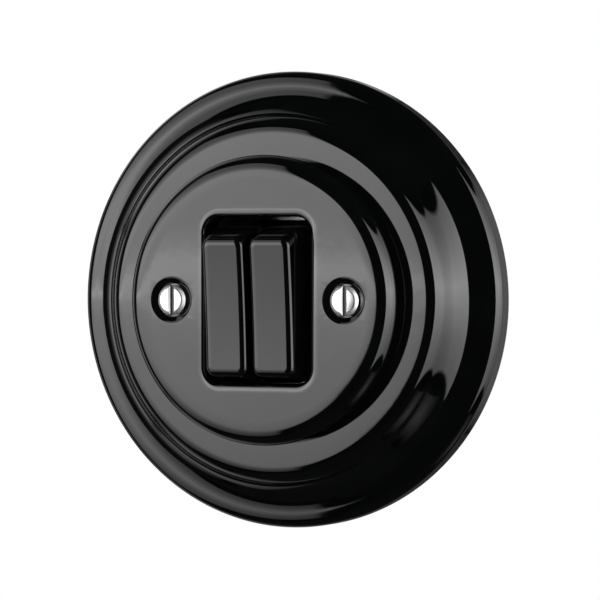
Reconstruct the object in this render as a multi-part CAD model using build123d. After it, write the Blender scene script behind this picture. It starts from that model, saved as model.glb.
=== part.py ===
"""Round porcelain switch with two rocker buttons.

The wall is the plane y = 0 and the front faces -Y, +Z is up and +X is to the right.
Depths are counted from the wall towards the front, so depth d lies at y = -d.
"""
import math
import os

from build123d import *

os.makedirs("parts", exist_ok=True)

# Fits shared by several pieces
running_fit = 0.05
loose_fit = 0.3
glaze_gap = 0.3
cut_over = 1.0
weld_depth = 0.4

# Frame, read from the outside inwards
frame_radius = 50.0
frame_foot_round = 0.8
frame_side_height = 4.1
bead_side_radius = 1.9
bead_side_angle = 20.0
bead_top_radius = 7.2
bead_top_angle = 3.5
cove_radius = 7.7
cove_angle = 69.0
ring_edge_radius = 4.15
ring_slope_angle = 1.2
ring_land = 2.0
frame_hole_radius = 28.7
frame_wall = 6.0
frame_web = 3.7
hollow_step = 3.4
hollow_ledge = 10.0

# Cover
cover_radius = 31.4
cover_height = 7.3
shoulder_side_radius = 2.85
shoulder_side_angle = 19.5
shoulder_top_radius = 5.3
shoulder_top_angle = 2.4
cover_rim_radius = 46.0
cover_foot_round = 0.4
cover_top_thickness = 5.2
spigot_depth = 4.6
spigot_wall = 2.5
window_width = 24.9
window_height = 35.9
window_corner = 3.4
window_lip = 1.0

# Cover screws
screw_spacing = 41.0
screw_head_radius = 3.3
screw_head_height = 2.0
screw_head_stand = 0.5
screw_dome = 0.15
screw_bevel = 0.65
screw_bevel_depth = 1.0
screw_slot_width = 1.0
screw_slot_depth = 0.9
screw_shank_radius = 1.75
screw_length = 14.4
head_clearance = 0.3
hollow_radius = 4.9
hollow_angle = 25.0
hollow_edge = 1.5

# Buttons, in their level position
gang_pitch = 11.05
button_gap = 0.5
button_face_length = 29.2
button_face_width = 9.4
button_slope_angle = 21.0
button_length = 33.4
button_reach = 18.6
button_skirt_reach = 7.0
button_edge = 1.2
button_corner = 1.6
button_dish = 0.35
button_wall = 2.0
button_tilt = 4.5
pivot_depth = 8.0

# Mechanism behind the cover
plate_set = 0.2
plate_thickness = 1.2
plate_radius = 36.0
plate_border = 6.0
plate_corner = 4.0
plate_window_corner = 3.0
plate_window_gap = 0.5
box_screw_spacing = 60.0
box_screw_radius = 2.1
box_slot_length = 8.0
pillar_radius = 3.5
pillar_depth = 12.0
thread_run_out = 1.0
base_width = 34.0
base_height = 46.0
base_depth = 24.0
base_corner = 3.0
base_end_wall = 3.2
chamber_width = 22.6
chamber_end_wall = 5.5
chamber_floor = 15.0
chamber_floor_thickness = 2.5
cheek_play = 0.1
cheek_thickness = 3.0
cheek_height = 10.0
cheek_over_pin = 3.2
cheek_round = 2.8
pin_radius = 1.5
carrier_width = 9.4
carrier_hub_radius = 3.6
carrier_tail_radius = 3.0
carrier_tail_end = 5.0
carrier_seat = 2.4
plunger_radius = 2.0
plunger_nose_radius = 1.4
plunger_start = 0.6
plunger_step = 0.6
spring_start = -4.4
spring_wire = 0.45
spring_radius = 1.5
spring_turns = 4.0
contact_axis_y = 13.0
contact_ridge_radius = 0.9
contact_hub_front = 2.2
contact_hub_half = 2.4
contact_strip_set = 0.5
contact_overhang = 2.0
contact_width = 7.0
contact_thickness = 1.2
contact_tip_radius = 1.6
contact_tip_height = 0.8
contact_inset = 0.4
contact_gap = 0.15
contact_tilt = 6.0
nose_gap = 0.15
terminal_size = 7.4
terminal_back_set = 0.2
terminal_post_radius = 1.9
ridge_strip_thickness = 1.0
ridge_strip_above = 2.0
ridge_strip_below = 6.0
ridge_half_width = 0.6
tongue_half_width = 1.6
wire_inset = 2.6
wire_stop = 1.2
wire_radius = 1.6
clamp_screw_radius = 1.4
clamp_head_radius = 2.2
clamp_head_height = 1.8
clamp_head_lift = 0.2
clamp_slot_half = 0.3
clamp_slot_depth = 0.7
clamp_tip_gap = 0.3
base_screw_radius = 1.25
base_screw_head_radius = 2.2
base_screw_head_height = 1.2
base_screw_length = 8.0
base_screw_end_gap = 0.5

# Values that follow from the sizes above
gang_places = {"left": -gang_pitch / 2, "right": gang_pitch / 2}
screw_places = [-screw_spacing / 2, screw_spacing / 2]
pivot_y = -pivot_depth


def sine(degrees):
    return math.sin(math.radians(degrees))


def cosine(degrees):
    return math.cos(math.radians(degrees))


ring_edge_end = (
    frame_radius
    - bead_side_radius * (1 - sine(bead_side_angle))
    - bead_top_radius * (sine(bead_side_angle) - sine(bead_top_angle))
    - cove_radius * (sine(cove_angle) - sine(bead_top_angle))
    - ring_edge_radius * (sine(cove_angle) - sine(ring_slope_angle))
)
ring_slope_radius = (ring_edge_end - frame_hole_radius - ring_land) / sine(ring_slope_angle)
ring_top = (
    frame_side_height
    + bead_side_radius * cosine(bead_side_angle)
    + bead_top_radius * (cosine(bead_top_angle) - cosine(bead_side_angle))
    + cove_radius * (cosine(bead_top_angle) - cosine(cove_angle))
    + ring_edge_radius * (cosine(ring_slope_angle) - cosine(cove_angle))
    + ring_slope_radius * (1 - cosine(ring_slope_angle))
)
cover_front = ring_top + cover_height
shoulder_depth = (
    shoulder_side_radius * cosine(shoulder_side_angle)
    + shoulder_top_radius * (cosine(shoulder_top_angle) - cosine(shoulder_side_angle))
    + cover_rim_radius * (1 - cosine(shoulder_top_angle))
)
cover_underside = cover_front - cover_top_thickness
screw_top = cover_front + screw_head_stand
screw_seat = screw_top - screw_head_height
counterbore_radius = screw_head_radius + head_clearance
button_width = gang_pitch - button_gap
cheek_inner = chamber_width / 2 + cheek_play
pin_half_length = cheek_inner + cheek_thickness
chamber_height = base_height - 2 * chamber_end_wall
chamber_back = chamber_floor + chamber_floor_thickness
plate_half_height = base_height / 2 + plate_border
plate_back = -plate_set
plate_front = plate_back - plate_thickness
base_screw_places = [-(base_height + chamber_height) / 4, (base_height + chamber_height) / 4]
terminal_outer = base_height / 2 - base_end_wall
terminal_inner = terminal_outer - terminal_size
terminal_places = [(gang_places["left"], 1), (gang_places["right"], 1), (0.0, -1)]
clamp_screw_y = (chamber_back + base_depth) / 2
contact_tip_place = terminal_inner - contact_inset
contact_half_length = contact_tip_place + contact_overhang
contact_strip_back = contact_axis_y - contact_strip_set
ridge_strip_front = chamber_floor - ridge_strip_thickness


def at(radius, depth):
    """Point of a turned profile: radius from the middle axis, depth from the wall."""
    return (radius, -depth)


def block(x_low, x_high, y_low, y_high, z_low, z_high):
    """Box between two corners."""
    size = Box(x_high - x_low, y_high - y_low, z_high - z_low)
    return Pos((x_low + x_high) / 2, (y_low + y_high) / 2, (z_low + z_high) / 2) * size


def rod_y(x, z, radius, y_low, y_high):
    """Cylinder along Y."""
    return Pos(x, (y_low + y_high) / 2, z) * Rot(90, 0, 0) * Cylinder(radius, y_high - y_low)


def rod_x(y, z, radius, x_low, x_high):
    """Cylinder along X."""
    return Pos((x_low + x_high) / 2, y, z) * Rot(0, 90, 0) * Cylinder(radius, x_high - x_low)


def rod_z(x, y, radius, z_low, z_high):
    """Cylinder along Z."""
    return Pos(x, y, (z_low + z_high) / 2) * Cylinder(radius, z_high - z_low)


def tilted(shape, angle, axis_y):
    """Turn a shape about an axis along X that lies at axis_y and z = 0."""
    return Pos(0, axis_y, 0) * Rot(angle, 0, 0) * Pos(0, -axis_y, 0) * shape


def make_frame():
    """Turned frame: foot, side, bead, cove, ring edge, ring top and the hollow behind."""
    hollow_radius = frame_radius - frame_wall
    web_depth = ring_top - frame_web
    with BuildPart() as frame:
        with BuildSketch(Plane.XY):
            with BuildLine():
                foot = JernArc(at(frame_radius - frame_foot_round, 0), (1, 0), frame_foot_round, -90)
                side = Line(foot @ 1, at(frame_radius, frame_side_height))
                bead = JernArc(side @ 1, (0, -1), bead_side_radius, bead_side_angle - 90)
                crest = JernArc(bead @ 1, bead % 1, bead_top_radius, bead_top_angle - bead_side_angle)
                cove = JernArc(crest @ 1, crest % 1, cove_radius, cove_angle - bead_top_angle)
                edge = JernArc(cove @ 1, cove % 1, ring_edge_radius, ring_slope_angle - cove_angle)
                slope = JernArc(edge @ 1, edge % 1, ring_slope_radius, -ring_slope_angle)
                Polyline(
                    slope @ 1,
                    at(frame_hole_radius, ring_top),
                    at(frame_hole_radius, web_depth),
                    at(hollow_radius - hollow_ledge, web_depth),
                    at(hollow_radius, hollow_step),
                    at(hollow_radius, 0),
                    foot @ 0,
                )
            make_face()
        revolve(axis=Axis.Y)
    return frame.part


def make_cover():
    """Turned cap with a spigot, cut by the window and the two holes in their soft hollows."""
    spigot_radius = frame_hole_radius - glaze_gap
    spigot_end = ring_top - spigot_depth
    with BuildPart() as cover:
        with BuildSketch(Plane.XY):
            with BuildLine():
                foot = JernArc(at(cover_radius - cover_foot_round, ring_top), (1, 0), cover_foot_round, -90)
                side = Line(foot @ 1, at(cover_radius, cover_front - shoulder_depth))
                shoulder = JernArc(side @ 1, (0, -1), shoulder_side_radius, shoulder_side_angle - 90)
                turn = shoulder_top_angle - shoulder_side_angle
                top = JernArc(shoulder @ 1, shoulder % 1, shoulder_top_radius, turn)
                rim = JernArc(top @ 1, top % 1, cover_rim_radius, -shoulder_top_angle)
                Polyline(
                    rim @ 1,
                    at(0, cover_front),
                    at(0, cover_underside),
                    at(spigot_radius - spigot_wall, cover_underside),
                    at(spigot_radius - spigot_wall, spigot_end),
                    at(spigot_radius, spigot_end),
                    at(spigot_radius, ring_top),
                    foot @ 0,
                )
            make_face()
        revolve(axis=Axis.Y)
    front = Plane(origin=(0, -cover_front, 0), x_dir=(1, 0, 0), z_dir=(0, -1, 0))
    window = extrude(front * RectangleRounded(window_width, window_height, window_corner), -2 * cover_height)
    shape = cover.part - window
    for x in screw_places:
        shape -= rod_y(x, 0, counterbore_radius, -cover_front - cut_over, -screw_seat)
        slope = math.tan(math.radians(hollow_angle))
        mouth = Plane(origin=(x, -cover_front - cut_over, 0), x_dir=(1, 0, 0), z_dir=(0, 1, 0))
        wide = hollow_radius + cut_over / slope
        shape -= Solid.make_cone(wide, counterbore_radius, (wide - counterbore_radius) * slope, mouth)
        shank_hole = screw_shank_radius + loose_fit
        shape -= rod_y(x, 0, shank_hole, -screw_seat - cut_over, -cover_underside + cut_over)
    face = shape.faces().filter_by(Axis.Y).sort_by(Axis.Y)[0]
    lip_edges = [e for wire in face.inner_wires() for e in wire.edges() if len(wire.edges()) > 2]
    shape = fillet(lip_edges, window_lip)
    bore_edges = [
        e
        for e in shape.edges().filter_by(GeomType.CIRCLE)
        if abs(e.radius - hollow_radius) < 0.01 and abs(e.center().Y + cover_front) < 0.01
    ]
    return fillet(bore_edges, hollow_edge)


def make_cover_screw(x):
    """Slotted screw with a slightly domed, bevelled head."""
    rim = screw_head_radius - screw_bevel
    rise = screw_top - screw_dome
    with BuildPart() as screw:
        with BuildSketch(Plane.XY):
            with BuildLine():
                dome = ThreePointArc(
                    at(0, screw_top), at(rim / 2, screw_top - screw_dome / 4), at(rim, rise)
                )
                Polyline(
                    dome @ 1,
                    at(screw_head_radius, rise - screw_bevel_depth),
                    at(screw_head_radius, screw_seat),
                    at(screw_shank_radius, screw_seat),
                    at(screw_shank_radius, screw_seat - screw_length),
                    at(0, screw_seat - screw_length),
                    at(0, screw_top),
                )
            make_face()
        revolve(axis=Axis.Y)
    half = screw_slot_width / 2
    floor = -screw_top + screw_slot_depth
    slot = block(-half, half, -screw_top - cut_over, floor, -screw_head_radius, screw_head_radius)
    return Pos(x, 0, 0) * (screw.part - slot)


def make_button(x):
    """Tapered hollow button: straight skirt, sloped ends, soft edges and a slightly dished face."""
    slope_rise = (button_length - button_face_length) / 2 / math.tan(math.radians(button_slope_angle))
    knee = button_reach - slope_rise
    half = button_length / 2
    face_half = button_face_length / 2
    outline = [
        (button_skirt_reach, -half),
        (knee, -half),
        (button_reach, -face_half),
        (button_reach, face_half),
        (knee, half),
        (button_skirt_reach, half),
    ]
    side_view = [(0, pivot_y - reach, z) for reach, z in outline]
    side = Face(Wire.make_polygon([Vector(*p) for p in side_view], close=True))
    blank = extrude(side, button_width / 2, (1, 0, 0), both=True)
    lean = (button_width - button_face_width) / 2
    for sign in (-1, 1):
        corners = [
            (sign * button_width / 2, pivot_y - knee),
            (sign * (button_width / 2 - lean), pivot_y - button_reach),
            (sign * (button_width / 2 - lean), pivot_y - button_reach - cut_over),
            (sign * (button_width / 2 + cut_over), pivot_y - button_reach - cut_over),
            (sign * (button_width / 2 + cut_over), pivot_y - knee),
        ]
        wedge = Face(Wire.make_polygon([Vector(a, b, -button_length) for a, b in corners], close=True))
        blank -= extrude(wedge, 2 * button_length, (0, 0, 1))
    dish_radius = (face_half**2 + button_dish**2) / (2 * button_dish)
    dish_y = pivot_y - button_reach + button_dish - dish_radius
    blank -= rod_x(dish_y, 0, dish_radius, -button_width, button_width)
    slanted = [
        e
        for e in blank.edges()
        if e.center().Y < pivot_y - knee - 0.2 and abs(abs(e.center().Z) - (half + face_half) / 2) < 0.4
    ]
    blank = fillet(slanted, button_corner)
    ahead = pivot_y - button_reach + button_dish + 0.2
    rim = [e for e in blank.edges() if e.bounding_box().max.Y < ahead + 0.9 and e.center().Y < ahead]
    blank = fillet(rim, button_edge)
    pocket = block(
        -carrier_width / 2 + button_wall,
        carrier_width / 2 - button_wall,
        pivot_y - button_reach + 2 * button_wall + button_dish,
        pivot_y,
        -face_half + button_wall,
        face_half - button_wall,
    )
    return Pos(x, 0, 0) * tilted(blank - pocket, button_tilt, pivot_y)


def make_carrier(x):
    """Tumbler: hub on the pin, head that fills the button's pocket, tail with the spring bore."""
    head_front = pivot_y - button_reach + 2 * button_wall + button_dish
    skirt_y = pivot_y - button_skirt_reach
    inner = carrier_width / 2 - button_wall
    length = button_face_length / 2 - button_wall
    shape = rod_x(pivot_y, 0, carrier_hub_radius, -carrier_width / 2, carrier_width / 2)
    shape += block(-inner, inner, head_front, skirt_y + weld_depth, -length, length)
    seat_back = skirt_y + carrier_seat
    shape += block(-carrier_width / 2, carrier_width / 2, skirt_y, seat_back, -length, length)
    shape += block(-inner, inner, skirt_y, pivot_y, -carrier_hub_radius, carrier_hub_radius)
    shape += rod_y(0, 0, carrier_tail_radius, pivot_y, carrier_tail_end)
    shape -= rod_x(pivot_y, 0, pin_radius + running_fit, -carrier_width, carrier_width)
    shape -= rod_y(0, 0, plunger_radius + running_fit, spring_start, carrier_tail_end + cut_over)
    return Pos(x, 0, 0) * tilted(shape, button_tilt, pivot_y)


def make_plunger(x):
    """Stepped plunger with a round nose that lies just in front of the see-saw."""
    nose_end = contact_axis_y - contact_hub_front - nose_gap
    centre = nose_end - plunger_nose_radius
    step = carrier_tail_end - plunger_step
    shape = rod_y(0, 0, plunger_radius, plunger_start, step)
    shape += rod_y(0, 0, plunger_nose_radius, step - weld_depth, centre)
    shape += Pos(0, centre, 0) * Sphere(plunger_nose_radius)
    return Pos(x, 0, 0) * tilted(shape, button_tilt, pivot_y)


def make_spring(x):
    """Coil spring in the carrier's bore, between its floor and the plunger."""
    travel = plunger_start - spring_start - 2 * spring_wire
    coil = Helix(pitch=travel / spring_turns, height=travel, radius=spring_radius)
    section = Plane(coil @ 0, z_dir=coil % 0) * RegularPolygon(spring_wire / 2, 6)
    wire = sweep(section, path=coil, is_frenet=True)
    placed = Pos(0, spring_start + spring_wire, 0) * Rot(-90, 0, 0) * wire
    return Pos(x, 0, 0) * tilted(placed, button_tilt, pivot_y)


def make_contact_rocker(x):
    """See-saw contact: hub with a round groove on the ridge, two arms, one contact tip."""
    strip_back = contact_strip_back
    strip_front = strip_back - contact_thickness
    tip_back = strip_back + contact_tip_height
    hub_front = contact_axis_y - contact_hub_front
    wide = contact_width / 2
    shape = block(-wide, wide, strip_front, strip_back, -contact_half_length, contact_half_length)
    shape += block(-wide, wide, hub_front, contact_axis_y, -contact_hub_half, contact_hub_half)
    shape += rod_y(0, contact_tip_place, contact_tip_radius, strip_back - weld_depth, tip_back)
    shape -= rod_x(contact_axis_y, 0, contact_ridge_radius + running_fit, -contact_width, contact_width)
    return Pos(x, 0, 0) * tilted(shape, -contact_tilt, contact_axis_y)


def make_terminal_block(x, up):
    """Brass block in a rear pocket, with a wire bore from the back and a clamp screw from the end."""
    low, high = sorted([up * terminal_inner, up * terminal_outer])
    half = terminal_size / 2
    shape = block(x - half, x + half, chamber_back, base_depth - terminal_back_set, low, high)
    wire_z = up * (terminal_inner + wire_inset)
    shape -= rod_y(x, wire_z, wire_radius, chamber_back + wire_stop, base_depth + cut_over)
    ends = sorted([wire_z, up * (terminal_outer + cut_over)])
    shape -= rod_z(x, clamp_screw_y, clamp_screw_radius + running_fit, *ends)
    return shape


def make_switched_terminal(x):
    """Fixed contact on a post through the chamber floor, on a terminal block."""
    reach = contact_tip_height - contact_strip_set
    tip_back = contact_axis_y + reach * cosine(contact_tilt) + contact_tip_place * sine(contact_tilt)
    tip_edge = contact_tip_radius * sine(contact_tilt)
    face = tip_back + tip_edge + contact_gap
    shape = make_terminal_block(x, 1)
    return shape + rod_y(x, contact_tip_place, terminal_post_radius, face, chamber_back + weld_depth)


def make_common_terminal():
    """Strip with the two bearing ridges, a post through the floor and a terminal block."""
    wide = gang_pitch / 2 + contact_width / 2
    half = contact_width / 2
    front = ridge_strip_front
    tongue_top = -ridge_strip_below + weld_depth
    post_back = chamber_back + weld_depth
    shape = make_terminal_block(0, -1)
    shape += block(-wide, wide, front, chamber_floor, -ridge_strip_below, ridge_strip_above)
    shape += block(
        -tongue_half_width, tongue_half_width, front, chamber_floor, -contact_tip_place, tongue_top
    )
    shape += rod_y(0, -contact_tip_place, terminal_post_radius, front, post_back)
    for x in gang_places.values():
        shape += rod_x(contact_axis_y, 0, contact_ridge_radius, x - half, x + half)
        back = front + weld_depth
        shape += block(x - half, x + half, contact_axis_y, back, -ridge_half_width, ridge_half_width)
    return shape


def make_clamp_screw(x, up):
    """Slotted clamp screw that enters a terminal block from the end of the base."""
    y = clamp_screw_y
    half = clamp_slot_half
    tip = terminal_inner + wire_inset + wire_radius + clamp_tip_gap
    seat = terminal_outer + clamp_head_lift
    top = seat + clamp_head_height
    slot_floor = top - clamp_slot_depth
    shape = rod_z(x, y, clamp_screw_radius, tip, seat + weld_depth)
    shape += rod_z(x, y, clamp_head_radius, seat, top)
    slot_ends = (y - clamp_head_radius, y + clamp_head_radius)
    shape -= block(x - half, x + half, *slot_ends, slot_floor, top + cut_over)
    if up > 0:
        return shape
    return mirror(shape, about=Plane.XY)


def make_base():
    """Moulded base: front chamber, rear terminal pockets, screw holes and bearing cheeks."""
    front = Plane(origin=(0, plate_back, 0), x_dir=(1, 0, 0), z_dir=(0, -1, 0))
    outline = RectangleRounded(base_width, base_height, base_corner)
    shape = extrude(front * outline, plate_back - base_depth)
    wide = chamber_width / 2
    tall = chamber_height / 2
    shape -= block(-wide, wide, -cut_over, chamber_floor, -tall, tall)
    half = terminal_size / 2
    post_hole = terminal_post_radius + running_fit
    for x, up in terminal_places:
        low, high = sorted([up * terminal_inner, up * terminal_outer])
        shape -= block(x - half, x + half, chamber_back, base_depth + cut_over, low, high)
        low, high = sorted([up * terminal_outer, up * (base_height / 2 + cut_over)])
        shape -= rod_z(x, clamp_screw_y, clamp_head_radius + loose_fit, low, high)
        post_z = up * contact_tip_place
        shape -= rod_y(x, post_z, post_hole, chamber_floor - cut_over, chamber_back + cut_over)
    for z in base_screw_places:
        shape -= rod_y(0, z, base_screw_radius + running_fit, -cut_over, base_screw_length)
    for sign in (-1, 1):
        low, high = sorted([sign * cheek_inner, sign * pin_half_length])
        crest = pivot_y - cheek_over_pin
        cheek = block(low, high, crest, plate_back + weld_depth, -cheek_height / 2, cheek_height / 2)
        top_edges = cheek.edges().filter_by(Axis.X).group_by(Axis.Y)[0]
        shape += fillet(top_edges, cheek_round)
    shape -= rod_x(pivot_y, 0, pin_radius + running_fit, -base_width, base_width)
    return shape


def make_plate():
    """Pressed plate: a disc with flats, a window for the base, two slots for the box screws."""
    front = Plane(origin=(0, plate_back, 0), x_dir=(1, 0, 0), z_dir=(0, -1, 0))
    outline = Circle(plate_radius) & Rectangle(2 * plate_radius, 2 * plate_half_height)
    outline = fillet(outline.vertices(), plate_corner)
    opening = 2 * (pin_half_length + plate_window_gap)
    outline -= RectangleRounded(opening, chamber_height, plate_window_corner)
    slots = Locations((-box_screw_spacing / 2, 0), (box_screw_spacing / 2, 0))
    outline -= slots * SlotOverall(box_slot_length, 2 * box_screw_radius)
    outline -= Locations(*[(0, z) for z in base_screw_places]) * Circle(base_screw_radius + loose_fit)
    return extrude(front * outline, plate_thickness)


def make_pillar(x):
    """Pillar on the plate with the thread bore for a cover screw."""
    bore_end = screw_seat - screw_length - thread_run_out
    shape = rod_y(x, 0, pillar_radius, -pillar_depth, plate_front)
    return shape - rod_y(x, 0, screw_shank_radius + running_fit, -pillar_depth - cut_over, -bore_end)


def make_base_screw(z):
    """Round headed screw that holds the base to the plate."""
    front = plate_front - base_screw_head_height
    head = rod_y(0, z, base_screw_head_radius, front, plate_front)
    end = base_screw_length - base_screw_end_gap
    return head + rod_y(0, z, base_screw_radius, plate_front - weld_depth, end)


nodes = {
    "porcelain_frame": make_frame(),
    "porcelain_cover": make_cover(),
    "cover_screws": Compound(children=[make_cover_screw(x) for x in screw_places]),
    "support_plate": make_plate(),
    "threaded_pillars": Compound(children=[make_pillar(x) for x in screw_places]),
    "mechanism_base": make_base(),
    "base_screws": Compound(children=[make_base_screw(z) for z in base_screw_places]),
    "pivot_pin": rod_x(pivot_y, 0, pin_radius, -pin_half_length, pin_half_length),
    "common_terminal": make_common_terminal(),
    "terminal_screws": Compound(children=[make_clamp_screw(x, up) for x, up in terminal_places]),
}
for side, x in gang_places.items():
    nodes[side + "_button"] = make_button(x)
    nodes[side + "_carrier"] = make_carrier(x)
    nodes[side + "_plunger"] = make_plunger(x)
    nodes[side + "_spring"] = make_spring(x)
    nodes[side + "_contact_rocker"] = make_contact_rocker(x)
    nodes[side + "_terminal"] = make_switched_terminal(x)

for name, shape in nodes.items():
    export_step(shape, "parts/" + name + ".step")
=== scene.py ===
import math

import bmesh
import bpy
from mathutils import Matrix, Vector


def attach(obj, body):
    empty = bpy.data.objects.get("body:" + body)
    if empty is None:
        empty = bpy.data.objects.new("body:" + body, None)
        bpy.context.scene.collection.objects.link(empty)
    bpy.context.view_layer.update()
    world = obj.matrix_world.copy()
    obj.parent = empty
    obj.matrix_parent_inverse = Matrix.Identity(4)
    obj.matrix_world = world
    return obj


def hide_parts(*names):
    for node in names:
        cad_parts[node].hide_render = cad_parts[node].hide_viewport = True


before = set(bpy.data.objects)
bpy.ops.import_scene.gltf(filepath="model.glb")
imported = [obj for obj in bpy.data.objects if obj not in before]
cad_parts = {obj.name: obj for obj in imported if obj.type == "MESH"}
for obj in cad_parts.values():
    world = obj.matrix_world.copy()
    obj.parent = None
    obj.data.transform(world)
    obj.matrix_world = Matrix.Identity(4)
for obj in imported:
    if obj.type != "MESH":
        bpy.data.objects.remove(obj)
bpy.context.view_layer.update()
scene = bpy.context.scene
MM = 0.001

# Sizes of the frame in millimetres, read from the outside inwards
frame_radius = 50.0
frame_foot_round = 0.8
frame_side_height = 4.1
bead_side_radius = 1.9
bead_side_angle = 20.0
bead_top_radius = 7.2
bead_top_angle = 3.5
cove_radius = 7.7
cove_angle = 69.0
ring_edge_radius = 4.15
ring_slope_angle = 1.2
ring_land = 2.0
frame_hole_radius = 28.7
frame_wall = 6.0
frame_web = 3.7
frame_hole_round = 0.25
hollow_step = 3.4
hollow_ledge = 10.0

# Sizes of the cover
cover_radius = 31.4
cover_height = 7.3
shoulder_side_radius = 2.85
shoulder_side_angle = 19.5
shoulder_top_radius = 5.3
shoulder_top_angle = 2.4
cover_rim_radius = 46.0
cover_foot_round = 0.4
cover_top_thickness = 5.2
spigot_depth = 4.6
spigot_wall = 2.5
spigot_clearance = 0.3
spigot_radius = frame_hole_radius - spigot_clearance
window_width = 24.9
window_height = 35.9
window_corner = 3.4
window_lip = 1.0
window_ease = 2.1
window_sink = 0.02

# Sizes of the cover screws
screw_places = (-20.5, 20.5)
screw_head_radius = 3.3
screw_head_height = 2.0
screw_head_stand = 0.5
screw_dome = 0.12
screw_bevel = 0.65
screw_bevel_depth = 0.45
screw_slot_width = 0.65
screw_slot_mouth = 1.6
screw_slot_depth = 0.9
screw_shank_radius = 1.75
screw_length = 14.4
thread_pitch = 0.6
thread_depth = 0.28
screw_point = 0.3
counterbore_radius = 3.6
hollow_radius = 4.9
hollow_angle = 25.0
hollow_edge = 1.5
shank_hole_radius = 2.05

# Sizes of the buttons in their level position
gang_places = {"left": -5.525, "right": 5.525}
button_width = 10.55
button_face_length = 29.2
button_face_width = 9.4
button_slope_angle = 21.0
button_length = 33.4
button_reach = 18.6
button_skirt_reach = 7.0
button_edge = 1.35
button_edge_drop = 0.7
button_corner = 1.9
button_least_corner = 0.1
button_face_margin = 0.2
button_dish = 0.35
dish_fade_start = 3.0
dish_fade_run = 2.5
button_wall = 2.0
button_tilt = 4.5
carrier_width = 9.4
pivot_depth = 8.0

# Sizes of the coil springs
spring_start = -4.4
spring_end = 0.6
spring_wire = 0.45
spring_radius = 1.5
spring_turns = 4.0


def sine(degrees):
    return math.sin(math.radians(degrees))


def cosine(degrees):
    return math.cos(math.radians(degrees))


def tangent(degrees):
    return math.tan(math.radians(degrees))


ring_edge_end = (
    frame_radius
    - bead_side_radius * (1 - sine(bead_side_angle))
    - bead_top_radius * (sine(bead_side_angle) - sine(bead_top_angle))
    - cove_radius * (sine(cove_angle) - sine(bead_top_angle))
    - ring_edge_radius * (sine(cove_angle) - sine(ring_slope_angle))
)
ring_slope_radius = (ring_edge_end - frame_hole_radius - ring_land) / sine(ring_slope_angle)
ring_top = (
    frame_side_height
    + bead_side_radius * cosine(bead_side_angle)
    + bead_top_radius * (cosine(bead_top_angle) - cosine(bead_side_angle))
    + cove_radius * (cosine(bead_top_angle) - cosine(cove_angle))
    + ring_edge_radius * (cosine(ring_slope_angle) - cosine(cove_angle))
    + ring_slope_radius * (1 - cosine(ring_slope_angle))
)
cover_front = ring_top + cover_height
cover_underside = cover_front - cover_top_thickness
screw_top = cover_front + screw_head_stand
screw_seat = screw_top - screw_head_height


# Node helpers
def wire(tree, source, target):
    tree.links.new(source, target)


def add_node(tree, kind, **settings):
    node = tree.nodes.new(kind)
    for key, value in settings.items():
        setattr(node, key, value)
    return node


def calculate(tree, operation, first, second=None):
    """Math node of either tree kind; a number goes into the socket, a socket is linked."""
    node = add_node(tree, "ShaderNodeMath", operation=operation)
    for socket, value in zip(node.inputs, (first, second)):
        if value is None:
            continue
        if isinstance(value, (int, float)):
            socket.default_value = value
        else:
            wire(tree, value, socket)
    return node.outputs[0]


def add_sockets(tree, direction, sockets):
    for name, (kind, value) in sockets.items():
        socket = tree.interface.new_socket(name, in_out=direction, socket_type="NodeSocket" + kind)
        if value is not None:
            socket.default_value = value


# Shader groups shared by several finishes
def make_ripple_group():
    """Slow waves of a fired glaze and the fine unevenness on them, as a height."""
    group = bpy.data.node_groups.new("glaze_ripple", "ShaderNodeTree")
    add_sockets(group, "INPUT", {
        "Wave Scale": ("Float", 60.0),
        "Fine Scale": ("Float", 260.0),
        "Fine Share": ("Float", 0.2),
    })
    add_sockets(group, "OUTPUT", {"Height": ("Float", None)})
    inlet = add_node(group, "NodeGroupInput")
    outlet = add_node(group, "NodeGroupOutput")
    place = add_node(group, "ShaderNodeTexCoord")
    waves = add_node(group, "ShaderNodeTexNoise")
    waves.inputs["Detail"].default_value = 0.5
    fine = add_node(group, "ShaderNodeTexNoise")
    fine.inputs["Detail"].default_value = 1.0
    wire(group, place.outputs["Object"], waves.inputs["Vector"])
    wire(group, place.outputs["Object"], fine.inputs["Vector"])
    wire(group, inlet.outputs["Wave Scale"], waves.inputs["Scale"])
    wire(group, inlet.outputs["Fine Scale"], fine.inputs["Scale"])
    share = calculate(group, "MULTIPLY", fine.outputs["Fac"], inlet.outputs["Fine Share"])
    wire(group, calculate(group, "ADD", waves.outputs["Fac"], share), outlet.inputs["Height"])
    return group


def make_mottle_group():
    """Soft blotches between two values, for roughness and colour."""
    group = bpy.data.node_groups.new("soft_mottle", "ShaderNodeTree")
    add_sockets(group, "INPUT", {"Scale": ("Float", 90.0), "Low": ("Float", 0.0), "High": ("Float", 1.0)})
    add_sockets(group, "OUTPUT", {"Value": ("Float", None)})
    inlet = add_node(group, "NodeGroupInput")
    outlet = add_node(group, "NodeGroupOutput")
    place = add_node(group, "ShaderNodeTexCoord")
    noise = add_node(group, "ShaderNodeTexNoise")
    noise.inputs["Detail"].default_value = 3.0
    span = add_node(group, "ShaderNodeMapRange")
    span.inputs["From Min"].default_value = 0.3
    span.inputs["From Max"].default_value = 0.7
    wire(group, place.outputs["Object"], noise.inputs["Vector"])
    wire(group, inlet.outputs["Scale"], noise.inputs["Scale"])
    wire(group, noise.outputs["Fac"], span.inputs["Value"])
    wire(group, inlet.outputs["Low"], span.inputs["To Min"])
    wire(group, inlet.outputs["High"], span.inputs["To Max"])
    wire(group, span.outputs["Result"], outlet.inputs["Value"])
    return group


ripple_group = make_ripple_group()
mottle_group = make_mottle_group()


def use_group(tree, group, **values):
    node = add_node(tree, "ShaderNodeGroup", node_tree=group)
    for name, value in values.items():
        node.inputs[name.replace("_", " ").title()].default_value = value
    return node


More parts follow.
